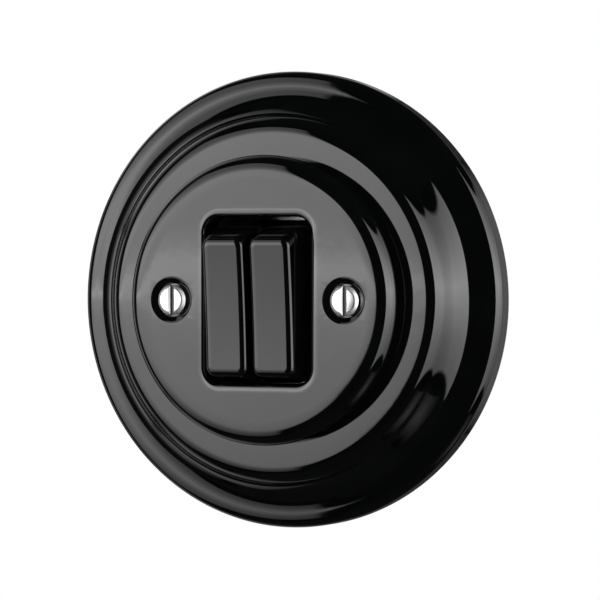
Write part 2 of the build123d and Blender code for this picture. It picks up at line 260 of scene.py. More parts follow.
def start_material(name):
    material = bpy.data.materials.new(name)
    material.use_nodes = True
    return material, material.node_tree, material.node_tree.nodes["Principled BSDF"]


def mottled_colour(tree, dark, light, scale):
    """Colour that wanders between two near shades."""
    blotch = use_group(tree, mottle_group, scale=scale, low=0.0, high=1.0)
    mix = add_node(tree, "ShaderNodeMix", data_type="RGBA")
    mix.inputs["A"].default_value = (*dark, 1.0)
    mix.inputs["B"].default_value = (*light, 1.0)
    wire(tree, blotch.outputs["Value"], mix.inputs["Factor"])
    return mix.outputs["Result"]


def black_glaze():
    """High gloss black glaze: deeper where it pools at lips and edges, slightly wavy."""
    material, tree, shader = start_material("black_glaze")
    black = mottled_colour(tree, (0.0025, 0.0036, 0.003), (0.0045, 0.0062, 0.0052), 120.0)
    wire(tree, black, shader.inputs["Base Color"])
    shader.inputs["IOR"].default_value = 1.5
    gloss = use_group(tree, mottle_group, scale=140.0, low=0.035, high=0.06)
    wire(tree, gloss.outputs["Value"], shader.inputs["Roughness"])
    pool = add_node(tree, "ShaderNodeAttribute", attribute_name="glaze_pool")
    deep = calculate(tree, "MULTIPLY", pool.outputs["Fac"], 0.35)
    wire(tree, calculate(tree, "ADD", deep, 0.1), shader.inputs["Coat Weight"])
    shader.inputs["Coat Roughness"].default_value = 0.04
    height = use_group(tree, ripple_group, wave_scale=70.0, fine_scale=300.0, fine_share=0.15)
    bump = add_node(tree, "ShaderNodeBump")
    bump.inputs["Strength"].default_value = 0.35
    bump.inputs["Distance"].default_value = 0.00012
    wire(tree, height.outputs["Height"], bump.inputs["Height"])
    wire(tree, bump.outputs["Normal"], shader.inputs["Normal"])
    wire(tree, bump.outputs["Normal"], shader.inputs["Coat Normal"])
    return material


# Painted shade: dark grey that stands in for the shade inside cut screw slots
slot_painted_shade = (0.16, 0.16, 0.165)
worked_roughness = 0.3


def plated_metal(name, dark, light, rough_low, rough_high, grain):
    """Bare or plated metal with a faint uneven polish, painted shade darkening its colour in cut slots,
    duller where cut or brushed.
    """
    material, tree, shader = start_material(name)
    shader.inputs["Metallic"].default_value = 1.0
    # Painted shade: faces marked as cut by the slot mix their colour towards the dark grey, and are also
    # rougher
    cut = add_node(tree, "ShaderNodeAttribute", attribute_name="slot_cut_painted_shade")
    colour = add_node(tree, "ShaderNodeMix", data_type="RGBA")
    wire(tree, cut.outputs["Fac"], colour.inputs["Factor"])
    wire(tree, mottled_colour(tree, dark, light, grain), colour.inputs["A"])
    colour.inputs["B"].default_value = (*slot_painted_shade, 1.0)
    wire(tree, colour.outputs["Result"], shader.inputs["Base Color"])
    gloss = use_group(tree, mottle_group, scale=grain * 2.5, low=rough_low, high=rough_high)
    brushed = add_node(tree, "ShaderNodeAttribute", attribute_name="brushed")
    worked = calculate(tree, "MAXIMUM", cut.outputs["Fac"], brushed.outputs["Fac"])
    dull = calculate(tree, "MULTIPLY", worked, worked_roughness)
    wire(tree, calculate(tree, "ADD", gloss.outputs["Value"], dull), shader.inputs["Roughness"])
    return material


def moulded_plastic(name, dark, light):
    """Moulded plastic with a fine grain."""
    material, tree, shader = start_material(name)
    wire(tree, mottled_colour(tree, dark, light, 220.0), shader.inputs["Base Color"])
    gloss = use_group(tree, mottle_group, scale=500.0, low=0.38, high=0.55)
    wire(tree, gloss.outputs["Value"], shader.inputs["Roughness"])
    height = use_group(tree, ripple_group, wave_scale=900.0, fine_scale=2600.0, fine_share=0.5)
    bump = add_node(tree, "ShaderNodeBump")
    bump.inputs["Strength"].default_value = 0.25
    bump.inputs["Distance"].default_value = 0.00005
    wire(tree, height.outputs["Height"], bump.inputs["Height"])
    wire(tree, bump.outputs["Normal"], shader.inputs["Normal"])
    return material


glaze = black_glaze()
chrome = plated_metal("polished_chrome", (0.74, 0.74, 0.75), (0.82, 0.82, 0.83), 0.16, 0.22, 160.0)
zinc_steel = plated_metal("zinc_plate", (0.5, 0.51, 0.53), (0.66, 0.67, 0.68), 0.3, 0.45, 90.0)
bright_steel = plated_metal("ground_steel", (0.56, 0.56, 0.57), (0.66, 0.66, 0.67), 0.2, 0.3, 200.0)
brass = plated_metal("turned_brass", (0.62, 0.44, 0.18), (0.76, 0.57, 0.27), 0.2, 0.34, 150.0)
base_plastic = moulded_plastic("moulded_base", (0.04, 0.04, 0.043), (0.058, 0.058, 0.062))
carrier_plastic = moulded_plastic("moulded_carrier", (0.05, 0.05, 0.053), (0.068, 0.068, 0.072))


# Mesh helpers
def link(piece):
    scene.collection.objects.link(piece)
    return piece


def outline_object(name, points):
    """Row of points joined by edges that a turning tree reads: radius along X, front towards -Y."""
    mesh = bpy.data.meshes.new(name)
    corners = [(r * MM, -d * MM, 0.0) for r, d in points]
    mesh.from_pydata(corners, [(i, i + 1) for i in range(len(corners) - 1)], [])
    return link(bpy.data.objects.new(name, mesh))


def bake(name, tree, values):
    """Run a geometry tree and keep its result as a plain mesh piece."""
    holder = link(bpy.data.objects.new(name + "_maker", bpy.data.meshes.new(name + "_maker")))
    maker = holder.modifiers.new("maker", "NODES")
    maker.node_group = tree
    for item in tree.interface.items_tree:
        if item.item_type == "SOCKET" and item.in_out == "INPUT" and item.name in values:
            maker[item.identifier] = values[item.name]
    graph = bpy.context.evaluated_depsgraph_get()
    mesh = bpy.data.meshes.new_from_object(holder.evaluated_get(graph))
    mesh.name = name
    holder.modifiers.remove(maker)
    bpy.data.objects.remove(holder)
    return link(bpy.data.objects.new(name, mesh))


def settle(piece, sharp=35.0):
    """Merge doubles, point the faces outwards, mark sharp edges and weigh the normals by area."""
    mesh = piece.data
    work = bmesh.new()
    work.from_mesh(mesh)
    bmesh.ops.remove_doubles(work, verts=work.verts, dist=1e-7)
    bmesh.ops.recalc_face_normals(work, faces=work.faces)
    for face in work.faces:
        face.smooth = True
    work.to_mesh(mesh)
    work.free()
    mesh.set_sharp_from_angle(angle=math.radians(sharp))
    weigh = piece.modifiers.new("even_normals", "WEIGHTED_NORMAL")
    weigh.keep_sharp = True
    weigh.weight = 100
    graph = bpy.context.evaluated_depsgraph_get()
    finished = bpy.data.meshes.new_from_object(piece.evaluated_get(graph))
    piece.modifiers.remove(weigh)
    piece.data = finished
    finished.name = piece.name
    return piece


# Geometry tree that turns an outline about the middle axis
def make_turning_tree():
    tree = bpy.data.node_groups.new("turned_piece", "GeometryNodeTree")
    add_sockets(tree, "INPUT", {
        "Outline": ("Object", None),
        "Outline Points": ("Int", 2),
        "Steps": ("Int", 32),
        "Finish": ("Material", None),
    })
    add_sockets(tree, "OUTPUT", {"Geometry": ("Geometry", None)})
    inlet = add_node(tree, "NodeGroupInput")
    outlet = add_node(tree, "NodeGroupOutput")
    sheet = add_node(tree, "GeometryNodeMeshGrid")
    wire(tree, calculate(tree, "ADD", inlet.outputs["Steps"], 1.0), sheet.inputs["Vertices X"])
    wire(tree, inlet.outputs["Outline Points"], sheet.inputs["Vertices Y"])
    index = add_node(tree, "GeometryNodeInputIndex")
    points = inlet.outputs["Outline Points"]
    ring = calculate(tree, "FLOOR", calculate(tree, "DIVIDE", index.outputs[0], points))
    spot = calculate(tree, "MODULO", index.outputs[0], points)
    turn = calculate(tree, "MULTIPLY", calculate(tree, "DIVIDE", ring, inlet.outputs["Steps"]), 2 * math.pi)
    info = add_node(tree, "GeometryNodeObjectInfo")
    wire(tree, inlet.outputs["Outline"], info.inputs["Object"])
    position = add_node(tree, "GeometryNodeInputPosition")
    sample = add_node(tree, "GeometryNodeSampleIndex", data_type="FLOAT_VECTOR", domain="POINT")
    wire(tree, info.outputs["Geometry"], sample.inputs["Geometry"])
    wire(tree, position.outputs[0], sample.inputs["Value"])
    wire(tree, spot, sample.inputs["Index"])
    swing = add_node(tree, "ShaderNodeVectorRotate", rotation_type="Y_AXIS")
    wire(tree, sample.outputs["Value"], swing.inputs["Vector"])
    wire(tree, turn, swing.inputs["Angle"])
    lay = add_node(tree, "GeometryNodeSetPosition")
    wire(tree, sheet.outputs["Mesh"], lay.inputs["Geometry"])
    wire(tree, swing.outputs["Vector"], lay.inputs["Position"])
    close = add_node(tree, "GeometryNodeMergeByDistance")
    close.inputs["Distance"].default_value = 1e-7
    wire(tree, lay.outputs["Geometry"], close.inputs["Geometry"])
    finish_tree(tree, close.outputs["Geometry"], inlet.outputs["Finish"], outlet)
    return tree


def finish_tree(tree, geometry, material, outlet):
    """Every geometry tree ends the same way: real faces and a finish."""
    real = add_node(tree, "GeometryNodeRealizeInstances")
    paint = add_node(tree, "GeometryNodeSetMaterial")
    wire(tree, geometry, real.inputs["Geometry"])
    wire(tree, real.outputs["Geometry"], paint.inputs["Geometry"])
    wire(tree, material, paint.inputs["Material"])
    wire(tree, paint.outputs["Geometry"], outlet.inputs["Geometry"])


turning_tree = make_turning_tree()


def turned(name, points, steps, material, sharp=35.0):
    outline = outline_object(name + "_outline", points)
    piece = bake(name, turning_tree, {
        "Outline": outline, "Outline Points": len(points), "Steps": steps, "Finish": material,
    })
    bpy.data.objects.remove(outline)
    return settle(piece, sharp)


def arc(centre, radius, start, end, count):
    """Points of a profile arc. The angle runs from straight ahead, 0, to straight outwards, 90."""
    points = []
    for i in range(count + 1):
        angle = start + (end - start) * i / count
        points.append((centre[0] + radius * sine(angle), centre[1] + radius * cosine(angle)))
    return points


def arc_on(points, radius, start, end, count):
    """Carry a profile on with an arc from its last point; a negative radius curves the hollow way."""
    centre = (points[-1][0] - radius * sine(start), points[-1][1] - radius * cosine(start))
    points += arc(centre, radius, start, end, count)[1:]


def straight(start, end, count):
    return [
        (start[0] + (end[0] - start[0]) * i / count, start[1] + (end[1] - start[1]) * i / count)
        for i in range(1, count + 1)
    ]


# Frame
def frame_outline():
    """Foot, side, bead, cove, ring edge, ring top and the hollow behind, as (radius, depth)."""
    points = arc((frame_radius - frame_foot_round, frame_foot_round), frame_foot_round, 180, 90, 10)
    foot = points[0]
    points += straight(points[-1], (frame_radius, frame_side_height), 4)
    arc_on(points, bead_side_radius, 90, bead_side_angle, 24)
    arc_on(points, bead_top_radius, bead_side_angle, bead_top_angle, 18)
    arc_on(points, -cove_radius, bead_top_angle, cove_angle, 40)
    arc_on(points, ring_edge_radius, cove_angle, ring_slope_angle, 36)
    arc_on(points, ring_slope_radius, ring_slope_angle, 0, 10)
    web = ring_top - frame_web
    hollow = frame_radius - frame_wall
    hole_edge = (frame_hole_radius + frame_hole_round, ring_top)
    points += straight(points[-1], hole_edge, 8)
    points += arc((hole_edge[0], ring_top - frame_hole_round), frame_hole_round, 0, -90, 6)[1:]
    points += straight(points[-1], (frame_hole_radius, web), 4)
    points += straight(points[-1], (hollow - hollow_ledge, web), 4)
    points += straight(points[-1], (hollow, hollow_step), 6)
    points += straight(points[-1], (hollow, 0.0), 3)
    points += straight(points[-1], foot, 2)
    return points


porcelain_frame = turned("glazed_frame", frame_outline(), 360, glaze)


# Cover
def rounded_rectangle(half_wide, half_tall, corner, sides=20, bends=14):
    """Closed outline in the plane of the front, from the foot of the right side upwards."""
    points = []
    flat_wide = half_wide - corner
    flat_tall = half_tall - corner
    runs = [
        ((half_wide, -flat_tall), (half_wide, flat_tall), (flat_wide, flat_tall), 0),
        ((flat_wide, half_tall), (-flat_wide, half_tall), (-flat_wide, flat_tall), 90),
        ((-half_wide, flat_tall), (-half_wide, -flat_tall), (-flat_wide, -flat_tall), 180),
        ((-flat_wide, -half_tall), (flat_wide, -half_tall), (flat_wide, -flat_tall), 270),
    ]
    for start, end, centre, first in runs:
        points += [start] + straight(start, end, sides)
        for i in range(1, bends):
            angle = first + 90 * i / bends
            points.append((centre[0] + corner * cosine(angle), centre[1] + corner * sine(angle)))
    return points


def circle_outline(x, radius, steps):
    return [
        (x + radius * cosine(360 * i / steps), radius * sine(360 * i / steps)) for i in range(steps)
    ]


class LoopMesh:
    """Mesh built from closed loops that are stitched into strips and filled into flats."""

    def __init__(self):
        self.work = bmesh.new()
        self.pool = self.work.verts.layers.float.new("glaze_pool")

    def loop(self, outline, depth, pool=0.0):
        corners = []
        for x, z in outline:
            corner = self.work.verts.new((x * MM, -depth * MM, z * MM))
            corner[self.pool] = pool
            corners.append(corner)
        return corners

    def strip(self, first, second):
        count = len(first)
        for i in range(count):
            j = (i + 1) % count
            self.work.faces.new((first[i], first[j], second[j], second[i]))

    def fill(self, *loops):
        edges = []
        for corners in loops:
            for i in range(len(corners)):
                pair = (corners[i], corners[(i + 1) % len(corners)])
                edges.append(self.work.edges.get(pair) or self.work.edges.new(pair))
        bmesh.ops.triangle_fill(self.work, use_beauty=True, use_dissolve=False, edges=edges)

    def finish(self, name, material, sharp=35.0):
        mesh = bpy.data.meshes.new(name)
        self.work.to_mesh(mesh)
        self.work.free()
        mesh.materials.append(material)
        return settle(link(bpy.data.objects.new(name, mesh)), sharp)


def lip_profile(radius, reach, sink, count=14):
    """Roll from the flat into a wall: (way out from the wall, drop, share of pooled glaze)."""
    rows = []
    ease = 6
    for i in range(ease):
        share = i / ease
        out = reach + (radius - reach) * share
        rows.append((out, sink * share * share, 0.5 - 0.5 * math.cos(math.pi * share)))
    for i in range(count + 1):
        angle = 90 * i / count
        drop = sink + (radius - sink) * (1 - cosine(angle))
        rows.append((radius * (1 - sine(angle)), drop, 1.0))
    return rows


def hollow_profile(count=10):
    """Soft hollow round a screw, its counterbore and hole: (radius, depth, share of pooled glaze)."""
    rows = []
    outer = hollow_radius + hollow_edge * tangent(hollow_angle / 2)
    for i in range(count + 1):
        angle = hollow_angle * i / count
        rows.append((outer - hollow_edge * sine(angle), cover_front - hollow_edge * (1 - cosine(angle)), 0.0))
    slope_end = cover_front - (hollow_radius - counterbore_radius) * tangent(hollow_angle)
    rows += [(r, d, 0.0) for r, d in straight(rows[-1][:2], (counterbore_radius, slope_end), 3)]
    rows.append((counterbore_radius, screw_seat, 1.0))
    rows.append((shank_hole_radius, screw_seat, 1.0))
    rows.append((shank_hole_radius, cover_underside, 1.0))
    return rows


def make_cover():
    cover = LoopMesh()
    steps = 360
    shoulder_depth = (
        shoulder_side_radius * cosine(shoulder_side_angle)
        + shoulder_top_radius * (cosine(shoulder_top_angle) - cosine(shoulder_side_angle))
        + cover_rim_radius * (1 - cosine(shoulder_top_angle))
    )
    rise = [(cover_radius, ring_top + cover_foot_round)]
    rise += straight(rise[0], (cover_radius, cover_front - shoulder_depth), 3)
    arc_on(rise, shoulder_side_radius, 90, shoulder_side_angle, 26)
    arc_on(rise, shoulder_top_radius, shoulder_side_angle, shoulder_top_angle, 14)
    arc_on(rise, cover_rim_radius, shoulder_top_angle, 0, 12)
    profile = rise[::-1]
    foot_centre = (cover_radius - cover_foot_round, ring_top + cover_foot_round)
    profile += arc(foot_centre, cover_foot_round, 90, 180, 8)[1:]
    profile += straight(profile[-1], (spigot_radius, ring_top), 2)
    profile += straight(profile[-1], (spigot_radius, ring_top - spigot_depth), 2)
    profile += straight(profile[-1], (spigot_radius - spigot_wall, ring_top - spigot_depth), 1)
    profile += straight(profile[-1], (spigot_radius - spigot_wall, cover_underside), 2)
    rings = [cover.loop(circle_outline(0, r, steps), d) for r, d in profile]
    for first, second in zip(rings, rings[1:]):
        cover.strip(first, second)
    front_loops = [rings[0]]
    back_loops = [rings[-1]]

    window = []
    for out, drop, pool in lip_profile(window_lip, window_ease, window_sink):
        outline = rounded_rectangle(window_width / 2 + out, window_height / 2 + out, window_corner + out)
        window.append(cover.loop(outline, cover_front - drop, pool))
    outline = rounded_rectangle(window_width / 2, window_height / 2, window_corner)
    window.append(cover.loop(outline, cover_underside, 1.0))
    for first, second in zip(window, window[1:]):
        cover.strip(first, second)
    front_loops.append(window[0])
    back_loops.append(window[-1])

    for x in screw_places:
        bore = [cover.loop(circle_outline(x, r, 96), d, pool) for r, d, pool in hollow_profile()]
        for first, second in zip(bore, bore[1:]):
            cover.strip(first, second)
        front_loops.append(bore[0])
        back_loops.append(bore[-1])
    cover.fill(*front_loops)
    cover.fill(*back_loops)
    return cover.finish("glazed_cover", glaze)


porcelain_cover = make_cover()


# Buttons
def make_button(side, place):
    """Tapered button with sloped ends, soft edges, a dished face and a pocket behind."""
    work = bmesh.new()
    half = button_length / 2
    face_half = button_face_length / 2
    knee = button_reach - (half - face_half) / tangent(button_slope_angle)
    stations = [(button_skirt_reach, half, button_width / 2, 0.0), (knee, half, button_width / 2, 0.0)]
    for step in range(15):
        turn = 90 * step / 14
        reach = button_reach - button_edge_drop * (1 - sine(turn))
        share = (reach - knee) / (button_reach - knee)
        stations.append((
            reach,
            half + (face_half - half) * share,
            (button_width + (button_face_width - button_width) * share) / 2,
            button_edge * (1 - cosine(turn)),
        ))
    stations.append((button_reach, face_half, button_face_width / 2, button_edge + button_face_margin))
    rings = []
    for reach, tall, wide, inset in stations:
        corner = max(button_corner - inset, button_least_corner)
        points = rounded_rectangle(wide - inset, tall - inset, corner, sides=1, bends=8)
        rings.append([work.verts.new((x, -pivot_depth - reach, z)) for x, z in points])
    for low, high in zip(rings, rings[1:]):
        for i in range(len(low)):
            j = (i + 1) % len(low)
            work.faces.new((low[i], low[j], high[j], high[i]))
    work.faces.new(rings[-1])
    for i in range(1, 28):
        z = -face_half + button_face_length * i / 28
        geometry = work.verts[:] + work.edges[:] + work.faces[:]
        bmesh.ops.bisect_plane(work, geom=geometry, plane_co=(0, 0, z), plane_no=(0, 0, 1))
    for corner in work.verts:
        reach = -corner.co.y - pivot_depth
        share = min(max((reach - button_reach + dish_fade_start) / dish_fade_run, 0.0), 1.0)
        share = share * share * (3 - 2 * share)
        hollow = max(1 - (corner.co.z / face_half) ** 2, 0.0)
        corner.co.y += button_dish * hollow * share
    close_back(work)
    tilt = Matrix.Translation((place, -pivot_depth, 0)) @ Matrix.Rotation(math.radians(button_tilt), 4, "X")
    bmesh.ops.transform(work, matrix=tilt @ Matrix.Translation((0, pivot_depth, 0)), verts=work.verts)
    bmesh.ops.scale(work, vec=(MM, MM, MM), verts=work.verts)
    mesh = bpy.data.meshes.new(side + "_glazed_button")
    work.to_mesh(mesh)
    work.free()
    mesh.materials.append(glaze)
    return settle(link(bpy.data.objects.new(side + "_glazed_button", mesh)), 28.0)


def close_back(work):
    """Back of a button: the skirt's edge and the pocket that the carrier fills."""
    inner_wide = carrier_width / 2 - button_wall
    inner_tall = button_face_length / 2 - button_wall
    floor = button_reach - 2 * button_wall - button_dish
    outer = [e for e in work.edges if e.is_boundary]
    signs = [(-1, -1), (1, -1), (1, 1), (-1, 1)]
    corners = [(across * inner_wide, up * inner_tall) for across, up in signs]
    mouth = [work.verts.new((x, -pivot_depth - button_skirt_reach, z)) for x, z in corners]
    bottom = [work.verts.new((x, -pivot_depth - floor, z)) for x, z in corners]
    inner = []
    for i in range(4):
        j = (i + 1) % 4
        inner.append(work.edges.new((mouth[i], mouth[j])))
        work.faces.new((mouth[i], mouth[j], bottom[j], bottom[i]))
    work.faces.new(bottom)
    bmesh.ops.triangle_fill(work, use_beauty=True, use_dissolve=False, edges=outer + inner)


buttons = {side: make_button(side, place) for side, place in gang_places.items()}


# Slotted cover screws
# Share of the painted slot shade on the bevelled groove edges along the slot
groove_painted_shade_share = 0.55
slot_cutter_height = 4.0
slot_cutter_reach = 2.2
bevel_facing = (-0.97, -0.3)


def mark_faces(tree, geometry, name, share):
    """Faces of a mesh marked under a name, by a share from 0 to 1."""
    mark = add_node(tree, "GeometryNodeStoreNamedAttribute", data_type="FLOAT", domain="FACE")
    mark.inputs["Name"].default_value = name
    wire(tree, geometry, mark.inputs["Geometry"])
    if isinstance(share, float):
        mark.inputs["Value"].default_value = share
    else:
        wire(tree, share, mark.inputs["Value"])
    return mark.outputs["Geometry"]


def make_screw_tree():
    """Turned screw cut by its slot, set at every place of a row of points."""
    tree = bpy.data.node_groups.new("slotted_screws", "GeometryNodeTree")
    add_sockets(tree, "INPUT", {
        "Turned Screw": ("Object", None),
        "Spacing": ("Float", 0.042),
        "Slot Width": ("Float", 0.0008),
        "Slot Mouth": ("Float", 0.001),
        "Slot Floor": ("Float", 0.0),
        "Head Top": ("Float", 0.0),
        "Head Radius": ("Float", 0.0033),
        "Finish": ("Material", None),
    })
    add_sockets(tree, "OUTPUT", {"Geometry": ("Geometry", None)})
    inlet = add_node(tree, "NodeGroupInput")
    outlet = add_node(tree, "NodeGroupOutput")
    info = add_node(tree, "GeometryNodeObjectInfo")
    wire(tree, inlet.outputs["Turned Screw"], info.inputs["Object"])
    size = add_node(tree, "ShaderNodeCombineXYZ")
    wire(tree, inlet.outputs["Slot Width"], size.inputs["X"])
    size.inputs["Y"].default_value = slot_cutter_height * MM
    cutter_length = calculate(tree, "MULTIPLY", inlet.outputs["Head Radius"], slot_cutter_reach)
    wire(tree, cutter_length, size.inputs["Z"])
    cutter = add_node(tree, "GeometryNodeMeshCube")
    wire(tree, size.outputs[0], cutter.inputs["Size"])
    shift = add_node(tree, "ShaderNodeCombineXYZ")
    half_cutter = slot_cutter_height / 2 * MM
    wire(tree, calculate(tree, "SUBTRACT", inlet.outputs["Slot Floor"], half_cutter), shift.inputs["Y"])
    move = add_node(tree, "GeometryNodeTransform")
    # Faces left by the slot cutter carry the full painted slot shade
    wire(tree, mark_faces(tree, cutter.outputs["Mesh"], "slot_cut_painted_shade", 1.0), move.inputs["Geometry"])
    wire(tree, shift.outputs[0], move.inputs["Translation"])
    groove_size = add_node(tree, "ShaderNodeCombineXYZ")
    groove_side = calculate(tree, "MULTIPLY", inlet.outputs["Slot Mouth"], math.sqrt(0.5))
    wire(tree, groove_side, groove_size.inputs["X"])
    wire(tree, groove_side, groove_size.inputs["Y"])
    wire(tree, cutter_length, groove_size.inputs["Z"])
    groove = add_node(tree, "GeometryNodeMeshCube")
    wire(tree, groove_size.outputs[0], groove.inputs["Size"])
    top = add_node(tree, "ShaderNodeCombineXYZ")
    wire(tree, inlet.outputs["Head Top"], top.inputs["Y"])
    turn = add_node(tree, "GeometryNodeTransform")
    turn.inputs["Rotation"].default_value = (0.0, 0.0, math.radians(45))
    wire(tree, top.outputs[0], turn.inputs["Translation"])
    # Groove edges are rougher and carry part of the painted slot shade
    edges = mark_faces(tree, groove.outputs["Mesh"], "brushed", 1.0)
    wire(tree, mark_faces(tree, edges, "slot_cut_painted_shade", groove_painted_shade_share), turn.inputs["Geometry"])
    normal = add_node(tree, "GeometryNodeInputNormal")
    tilt = add_node(tree, "ShaderNodeSeparateXYZ")
    wire(tree, normal.outputs[0], tilt.inputs[0])
    not_side = calculate(tree, "LESS_THAN", tilt.outputs["Y"], bevel_facing[1])
    not_dome = calculate(tree, "GREATER_THAN", tilt.outputs["Y"], bevel_facing[0])
    bevel = calculate(tree, "MULTIPLY", not_side, not_dome)
    blank = mark_faces(tree, info.outputs["Geometry"], "brushed", bevel)
    cut = add_node(tree, "GeometryNodeMeshBoolean", operation="DIFFERENCE", solver="EXACT")
    wire(tree, blank, cut.inputs["Mesh 1"])
    wire(tree, move.outputs["Geometry"], cut.inputs["Mesh 2"])
    wire(tree, turn.outputs["Geometry"], cut.inputs["Mesh 2"])
    row = add_node(tree, "GeometryNodeMeshLine", mode="END_POINTS")
    row.inputs["Count"].default_value = 2
    start = add_node(tree, "ShaderNodeCombineXYZ")
    end = add_node(tree, "ShaderNodeCombineXYZ")
    wire(tree, calculate(tree, "MULTIPLY", inlet.outputs["Spacing"], -0.5), start.inputs["X"])
    wire(tree, calculate(tree, "MULTIPLY", inlet.outputs["Spacing"], 0.5), end.inputs["X"])
    wire(tree, start.outputs[0], row.inputs["Start Location"])
    wire(tree, end.outputs[0], row.inputs["Offset"])
    place = add_node(tree, "GeometryNodeInstanceOnPoints")
    wire(tree, row.outputs["Mesh"], place.inputs["Points"])
    wire(tree, cut.outputs["Mesh"], place.inputs["Instance"])
    finish_tree(tree, place.outputs["Instances"], inlet.outputs["Finish"], outlet)
    return tree


def make_cover_screws():
    rim = screw_head_radius - screw_bevel
    dome_radius = (rim * rim + screw_dome * screw_dome) / (2 * screw_dome)
    half_angle = math.degrees(math.asin(rim / dome_radius))
    outline = arc((0, screw_top - dome_radius), dome_radius, 0, half_angle, 12)
    rise = screw_top - screw_dome
    bevel_end = (screw_head_radius, rise - screw_bevel_depth)
    outline += straight(outline[-1], bevel_end, 3)
    outline += straight(outline[-1], (screw_head_radius, screw_seat), 2)
    outline += straight(outline[-1], (screw_shank_radius, screw_seat), 2)
    depth = screw_seat
    screw_end = screw_seat - screw_length
    while depth > screw_end + thread_pitch:
        outline.append((screw_shank_radius - thread_depth, depth - thread_pitch / 2))
        outline.append((screw_shank_radius, depth - thread_pitch))
        depth -= thread_pitch
    outline += [(screw_shank_radius - screw_point, screw_end), (0.0, screw_end)]
    blank = turned("screw_blank", outline, 72, chrome)
    piece = bake("chrome_screws", make_screw_tree(), {
        "Turned Screw": blank,
        "Spacing": (screw_places[1] - screw_places[0]) * MM,
        "Slot Width": screw_slot_width * MM,
        "Slot Mouth": screw_slot_mouth * MM,
        "Slot Floor": (-screw_top + screw_slot_depth) * MM,
        "Head Top": -screw_top * MM,
        "Head Radius": screw_head_radius * MM,
        "Finish": chrome,
    })
    bpy.data.objects.remove(blank)
    return settle(piece, 25.0)


cover_screws = make_cover_screws()


# Coil springs behind the plungers
def make_coil_tree():
    tree = bpy.data.node_groups.new("coil_spring", "GeometryNodeTree")
    add_sockets(tree, "INPUT", {
        "Turns": ("Float", 4.0),
        "Coil Radius": ("Float", 0.0015),
        "Length": ("Float", 0.004),
        "Wire Radius": ("Float", 0.0002),
        "Finish": ("Material", None),
    })
    add_sockets(tree, "OUTPUT", {"Geometry": ("Geometry", None)})
    inlet = add_node(tree, "NodeGroupInput")
    outlet = add_node(tree, "NodeGroupOutput")
    coil = add_node(tree, "GeometryNodeCurveSpiral")
    coil.inputs["Resolution"].default_value = 32
    wire(tree, inlet.outputs["Turns"], coil.inputs["Rotations"])
    wire(tree, inlet.outputs["Coil Radius"], coil.inputs["Start Radius"])
    wire(tree, inlet.outputs["Coil Radius"], coil.inputs["End Radius"])
    wire(tree, inlet.outputs["Length"], coil.inputs["Height"])
    section = add_node(tree, "GeometryNodeCurvePrimitiveCircle")
    section.inputs["Resolution"].default_value = 10
    wire(tree, inlet.outputs["Wire Radius"], section.inputs["Radius"])
    sweep = add_node(tree, "GeometryNodeCurveToMesh")
    sweep.inputs["Fill Caps"].default_value = True
    wire(tree, coil.outputs["Curve"], sweep.inputs["Curve"])
    wire(tree, section.outputs["Curve"], sweep.inputs["Profile Curve"])
    finish_tree(tree, sweep.outputs["Mesh"], inlet.outputs["Finish"], outlet)
    return tree


coil_tree = make_coil_tree()


def make_spring(side, place):
    length = spring_end - spring_start - 2 * spring_wire
    piece = bake(side + "_coil", coil_tree, {
        "Turns": spring_turns,
        "Coil Radius": spring_radius * MM,
        "Length": length * MM,
        "Wire Radius": spring_wire / 2 * MM,
        "Finish": bright_steel,
    })
    upright = Matrix.Rotation(math.radians(-90), 4, "X")
    seat = Matrix.Translation((0, (spring_start + spring_wire) * MM, 0))
    lean = (
        Matrix.Translation((place * MM, -pivot_depth * MM, 0))
        @ Matrix.Rotation(math.radians(button_tilt), 4, "X")
        @ Matrix.Translation((0, pivot_depth * MM, 0))
    )
    piece.data.transform(lean @ seat @ upright)
    return settle(piece)


springs = {side: make_spring(side, place) for side, place in gang_places.items()}

# Finishes of the pieces that stay as the construction made them
node_finish = {
    "support_plate": zinc_steel,
    "threaded_pillars": zinc_steel,
    "base_screws": zinc_steel,
    "mechanism_base": base_plastic,
    "pivot_pin": bright_steel,
    "common_terminal": brass,
    "left_terminal": brass,
    "right_terminal": brass,
    "terminal_screws": zinc_steel,
    "left_carrier": carrier_plastic,
    "right_carrier": carrier_plastic,
    "left_plunger": bright_steel,
    "right_plunger": bright_steel,
    "left_contact_rocker": brass,
    "right_contact_rocker": brass,
}
for name, material in node_finish.items():
    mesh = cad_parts[name].data
    mesh.materials.clear()
    mesh.materials.append(material)

# Every piece moves with its body and stands for its node
dressed = [
    (porcelain_frame, "housing", "porcelain_frame", "black_glaze"),
    (porcelain_cover, "housing", "porcelain_cover", "black_glaze"),
    (cover_screws, "housing", "cover_screws", "chrome"),
]
for side in gang_places:
    dressed.append((buttons[side], side + "_rocker", side + "_button", "black_glaze"))
    dressed.append((springs[side], side + "_rocker", side + "_spring", "bright_steel"))
for piece, body, node, slot in dressed:
    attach(piece, body)
    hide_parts(node)


# Studio
def plane_object(name, centre, facing, wide, tall):
    """Flat sheet at a place, turned to face a point."""
    mesh = bpy.data.meshes.new(name)
    x = wide / 2
    y = tall / 2
    mesh.from_pydata([(-x, -y, 0), (x, -y, 0), (x, y, 0), (-x, y, 0)], [], [(0, 1, 2, 3)])
    sheet = link(bpy.data.objects.new(name, mesh))
    away = Vector(facing) - Vector(centre)
    sheet.rotation_euler = away.to_track_quat("Z", "Y").to_euler()
    sheet.location = centre
    return sheet


middle = (0.0, -0.012, 0.0)

# Form of a light's side edge. Heights are sines of the elevation, shifts are shares of its width
edge_height = 0.03
edge_upright = 0.07
edge_most_shift = 0.07
edge_foot = -0.2
edge_foot_rate = 0.5
sheet_margin = 1.4

# Floor, dim cards and surroundings
card_width = 16.0
card_height = 9.0
floor_drop = 3.0
floor_width = 40.0
floor_glow = 0.55
world_level = 0.6


